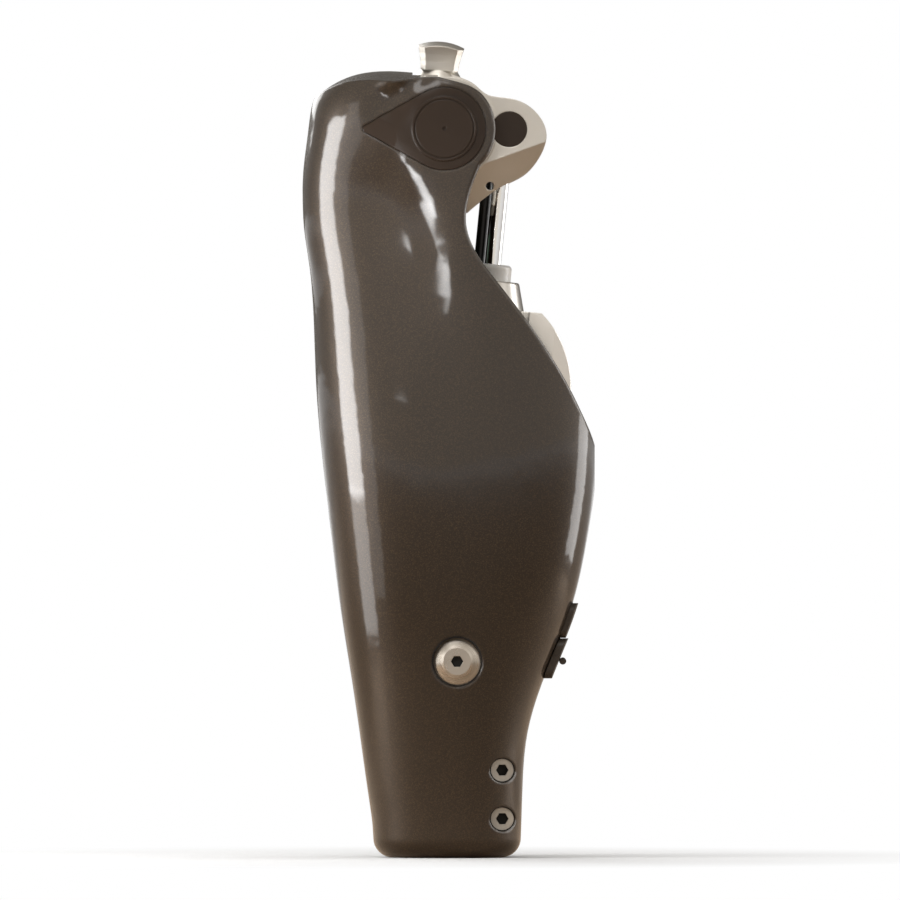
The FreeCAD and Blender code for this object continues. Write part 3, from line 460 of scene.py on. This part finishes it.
def copies_tree(name, shape, sizes, row, turn, material):
    """Tree that repeats one shape along a line, and the values of its inputs by identifier."""
    tree = bpy.data.node_groups.new(name + "_row", "GeometryNodeTree")
    tree.interface.new_socket(name="Geometry", in_out="OUTPUT", socket_type="NodeSocketGeometry")
    entry = tree.nodes.new("NodeGroupInput")
    line = tree.nodes.new("GeometryNodeMeshLine")
    solid = tree.nodes.new(shape)
    copies = tree.nodes.new("GeometryNodeInstanceOnPoints")
    copies.inputs["Rotation"].default_value = turn
    joined = tree.nodes.new("GeometryNodeRealizeInstances")
    dressed = tree.nodes.new("GeometryNodeSetMaterial")
    dressed.inputs["Material"].default_value = material
    leave = tree.nodes.new("NodeGroupOutput")

    count, start, step = row
    wanted = [("Count", line.inputs["Count"], count),
              ("Start", line.inputs["Start Location"], start),
              ("Step", line.inputs["Offset"], step)]
    wanted += [(label, solid.inputs[label], value) for label, value in sizes.items()]
    values = {}
    for label, target, value in wanted:
        socket = tree.interface.new_socket(name=label, in_out="INPUT",
                                           socket_type=SOCKET_KINDS[type(value)])
        values[socket.identifier] = value
        tree.links.new(entry.outputs[label], target)

    tree.links.new(line.outputs["Mesh"], copies.inputs["Points"])
    tree.links.new(solid.outputs["Mesh"], copies.inputs["Instance"])
    tree.links.new(copies.outputs["Instances"], joined.inputs["Geometry"])
    tree.links.new(joined.outputs["Geometry"], dressed.inputs["Geometry"])
    tree.links.new(dressed.outputs["Geometry"], leave.inputs["Geometry"])
    return tree, values


def row_of_copies(name, shape, sizes, row, turn, material):
    """Copies of one small shape, evenly spaced on a line, as one mesh that rides on the shin.

    The row holds the number of copies, the place of the first and the step to the next.
    """
    tree, values = copies_tree(name, shape, sizes, row, turn, material)
    piece = bpy.data.objects.new(name, bpy.data.meshes.new(name + "_start"))
    show(piece)
    modifier = piece.modifiers.new("row", "NODES")
    modifier.node_group = tree
    for identifier, value in values.items():
        modifier[identifier] = value
    finished = piece.evaluated_get(bpy.context.evaluated_depsgraph_get())
    mesh = bpy.data.meshes.new_from_object(finished)
    piece.modifiers.remove(modifier)
    piece.data = mesh
    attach(piece, "shin")


def add_socket_shade_plates():
    """Painted shade: black plates on the hex socket floors of the pivot bolts and clamp screws."""
    # Plain black plates, which paint the shade deep in each socket.
    dark = soft_rubber("socket_painted_shade", BLACK, roughness=0.7)
    plate = {"Vertices": HEX_CORNERS, "Radius": HEX_ACROSS / math.sqrt(3), "Depth": PLATE_THICK}
    crosswise = (math.pi / 2, 0, 0)
    depth = PIVOT_SOCKET_FLOOR + PLATE_THICK / 2
    row = (SOCKETS_IN_ROW, (PIVOT_X, -depth, PIVOT_HEIGHT), (0, 2 * depth, 0))
    row_of_copies("pivot_socket_shade", "GeometryNodeMeshCylinder", plate, row, crosswise, dark)
    depth = SCREW_SOCKET_FLOOR + PLATE_THICK / 2
    row = (SOCKETS_IN_ROW, (SCREW_X, -depth, SCREW_HEIGHT), (0, 0, SCREW_PITCH))
    row_of_copies("clamp_socket_shade", "GeometryNodeMeshCylinder", plate, row, crosswise, dark)


def add_charge_contacts():
    """Gilt pads in a row on the charging socket's face."""
    gold = turned_metal("contact_gold", GOLD, shaded(GOLD, 0.85), roughness=0.22)
    low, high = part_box("charge_socket")
    pad = (CONTACT_DEPTH + CONTACT_RISE, CONTACT_WIDTH, CONTACT_WIDTH)
    first = (high[0] + CONTACT_RISE - pad[0] / 2, -CONTACT_PITCH * (CONTACT_COUNT - 1) / 2,
             (low[2] + high[2]) / 2)
    row = (CONTACT_COUNT, first, (0, CONTACT_PITCH, 0))
    row_of_copies("charge_contacts", "GeometryNodeMeshCube", {"Size": pad}, row, (0, 0, 0),
                  gold)


def add_chip(name, low, high, material):
    """Small box on the board, from its lowest to its highest corner."""
    corners = [(x, y, z) for x in (low[0], high[0]) for y in (low[1], high[1])
               for z in (low[2], high[2])]
    mesh = bpy.data.meshes.new(name)
    mesh.from_pydata(corners, [], BOX_FACES)
    mesh.materials.append(material)
    chip = bpy.data.objects.new(name, mesh)
    show(chip)
    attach(chip, "shin")


def add_board_parts():
    """Chips and a connector on the circuit board, whose face looks to the back of the leg."""
    black = moulded_plastic("chip_black", SOFT_BLACK, CHIP_BLACK_WORN, roughness=0.45,
                            edge=CHIP_EDGE)
    low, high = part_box("circuit_board")
    for index, (y, z, half_y, half_z, rise) in enumerate(CHIPS):
        add_chip("chip_%d" % (index + 1), (high[0], y - half_y, low[2] + z - half_z),
                 (high[0] + rise, y + half_y, low[2] + z + half_z), black)


def seen_directly(owner):
    """1 for what the camera sees, straight or through a clear piece, and 0 otherwise."""
    path = add_node(owner, "ShaderNodeLightPath")
    return add_math(owner, "MAXIMUM", path.outputs["Is Camera Ray"],
                    path.outputs["Is Transmission Ray"])


def floor_finish():
    """White that keeps the object's shadow near it and shows plain white further out.

    As a source of light, and close by in gloss, it is tan, which warms the lower half and keeps
    it dark.
    """
    material = new_surface("floor_white", FLOOR_WHITE, FLOOR_ROUGHNESS)
    shader = shader_of(material)
    plain = add_node(material, "ShaderNodeEmission", Color=(*WHITE, 1), Strength=1.0)
    seen = seen_directly(material)
    link(material, colour_between(material, seen, FLOOR_BOUNCE, FLOOR_WHITE, WHOLE_SPAN),
         shader.inputs["Base Color"])
    path = add_node(material, "ShaderNodeLightPath")
    reach = add_node(material, "ShaderNodeVectorMath")
    reach.operation = "LENGTH"
    link(material, object_place(material), reach.inputs[0])
    far = remap(material, reach.outputs["Value"], 0.0, 1.0, SHADOW_FADE)
    glow = remap(material, reach.outputs["Value"], 0.0, WORLD_IN_GLOSS_BEFORE, GLOSS_FADE)
    white = add_math(material, "MULTIPLY", seen, far)
    glow = add_math(material, "MULTIPLY", path.outputs["Is Glossy Ray"], glow)
    mix = add_node(material, "ShaderNodeMixShader")
    link(material, add_math(material, "MAXIMUM", white, glow), mix.inputs[0])
    link(material, shader.outputs[0], mix.inputs[1])
    link(material, plain.outputs[0], mix.inputs[2])
    link(material, mix.outputs[0], material.node_tree.nodes["Material Output"].inputs["Surface"])
    return material


def add_floor():
    mesh = bpy.data.meshes.new("studio_floor")
    corners = [(-FLOOR_REACH, -FLOOR_REACH, 0), (FLOOR_REACH, -FLOOR_REACH, 0),
               (FLOOR_REACH, FLOOR_REACH, 0), (-FLOOR_REACH, FLOOR_REACH, 0)]
    mesh.from_pydata(corners, [], [(0, 1, 2, 3)])
    mesh.materials.append(floor_finish())
    floor = bpy.data.objects.new("studio_floor", mesh)
    show(floor)


def white_world():
    """White to the camera; in gloss, pale before the object and darker beyond it."""
    world = bpy.data.worlds.new("studio")
    bpy.context.scene.world = world
    world.use_nodes = True
    background = world.node_tree.nodes["Background"]
    direction = add_node(world, "ShaderNodeSeparateXYZ")
    link(world, add_node(world, "ShaderNodeTexCoord").outputs["Generated"],
         direction.inputs["Vector"])
    gloss = remap(world, direction.outputs["Y"], WORLD_IN_GLOSS_BEFORE, WORLD_IN_GLOSS_BEYOND,
                  WORLD_TURN)
    path = add_node(world, "ShaderNodeLightPath")
    gloss = add_math(world, "MULTIPLY", gloss, path.outputs["Is Glossy Ray"])
    diffuse = remap(world, path.outputs["Is Diffuse Ray"], 0.0, WORLD_LIGHT, WHOLE_SPAN)
    level = add_math(world, "MAXIMUM", gloss, diffuse)
    seen = seen_directly(world)
    link(world, add_math(world, "MAXIMUM", seen, level), background.inputs["Strength"])
    link(world, colour_between(world, seen, WORLD_TINT, WHITE, WHOLE_SPAN),
         background.inputs["Color"])


def softbox(name, bearing, distance, height, width, length, radiance, aim, spread):
    """Soft light, turned to a point on the object's middle line at the height of aim."""
    lamp = bpy.data.lights.new(name, "AREA")
    lamp.shape = "RECTANGLE"
    lamp.size = width
    lamp.size_y = length
    lamp.energy = radiance * math.pi * width * length
    lamp.spread = math.radians(spread)
    turn = math.radians(bearing)
    place = Vector((-distance * math.sin(turn), -distance * math.cos(turn), height))
    light = bpy.data.objects.new(name, lamp)
    light.location = place
    light.rotation_euler = (Vector((0, 0, aim)) - place).to_track_quat("-Z", "Y").to_euler()
    show(light)


def add_lights():
    for light in LIGHTS:
        softbox(*light)


def add_camera():
    """Side view from the left, framed as the photograph is."""
    view_width = PIXELS_ACROSS / PIXELS_PER_METRE
    half = PIXELS_ACROSS / 2
    centre_x = (half - ORIGIN_PIXEL[0]) / PIXELS_PER_METRE
    centre_z = (ORIGIN_PIXEL[1] - half) / PIXELS_PER_METRE
    lens = bpy.data.cameras.new("side_view")
    lens.sensor_width = SENSOR_MILLIMETRES
    lens.lens = SENSOR_MILLIMETRES * CAMERA_DISTANCE / view_width
    camera = bpy.data.objects.new("side_view", lens)
    camera.location = (centre_x, -CAMERA_DISTANCE, centre_z)
    camera.rotation_euler = (math.pi / 2, 0, 0)
    show(camera)
    bpy.context.scene.camera = camera


bpy.context.scene.view_settings.view_transform = "Standard"
add_camera()
add_floor()
white_world()
add_lights()
dress_nodes()
add_socket_shade_plates()
add_charge_contacts()
add_board_parts()
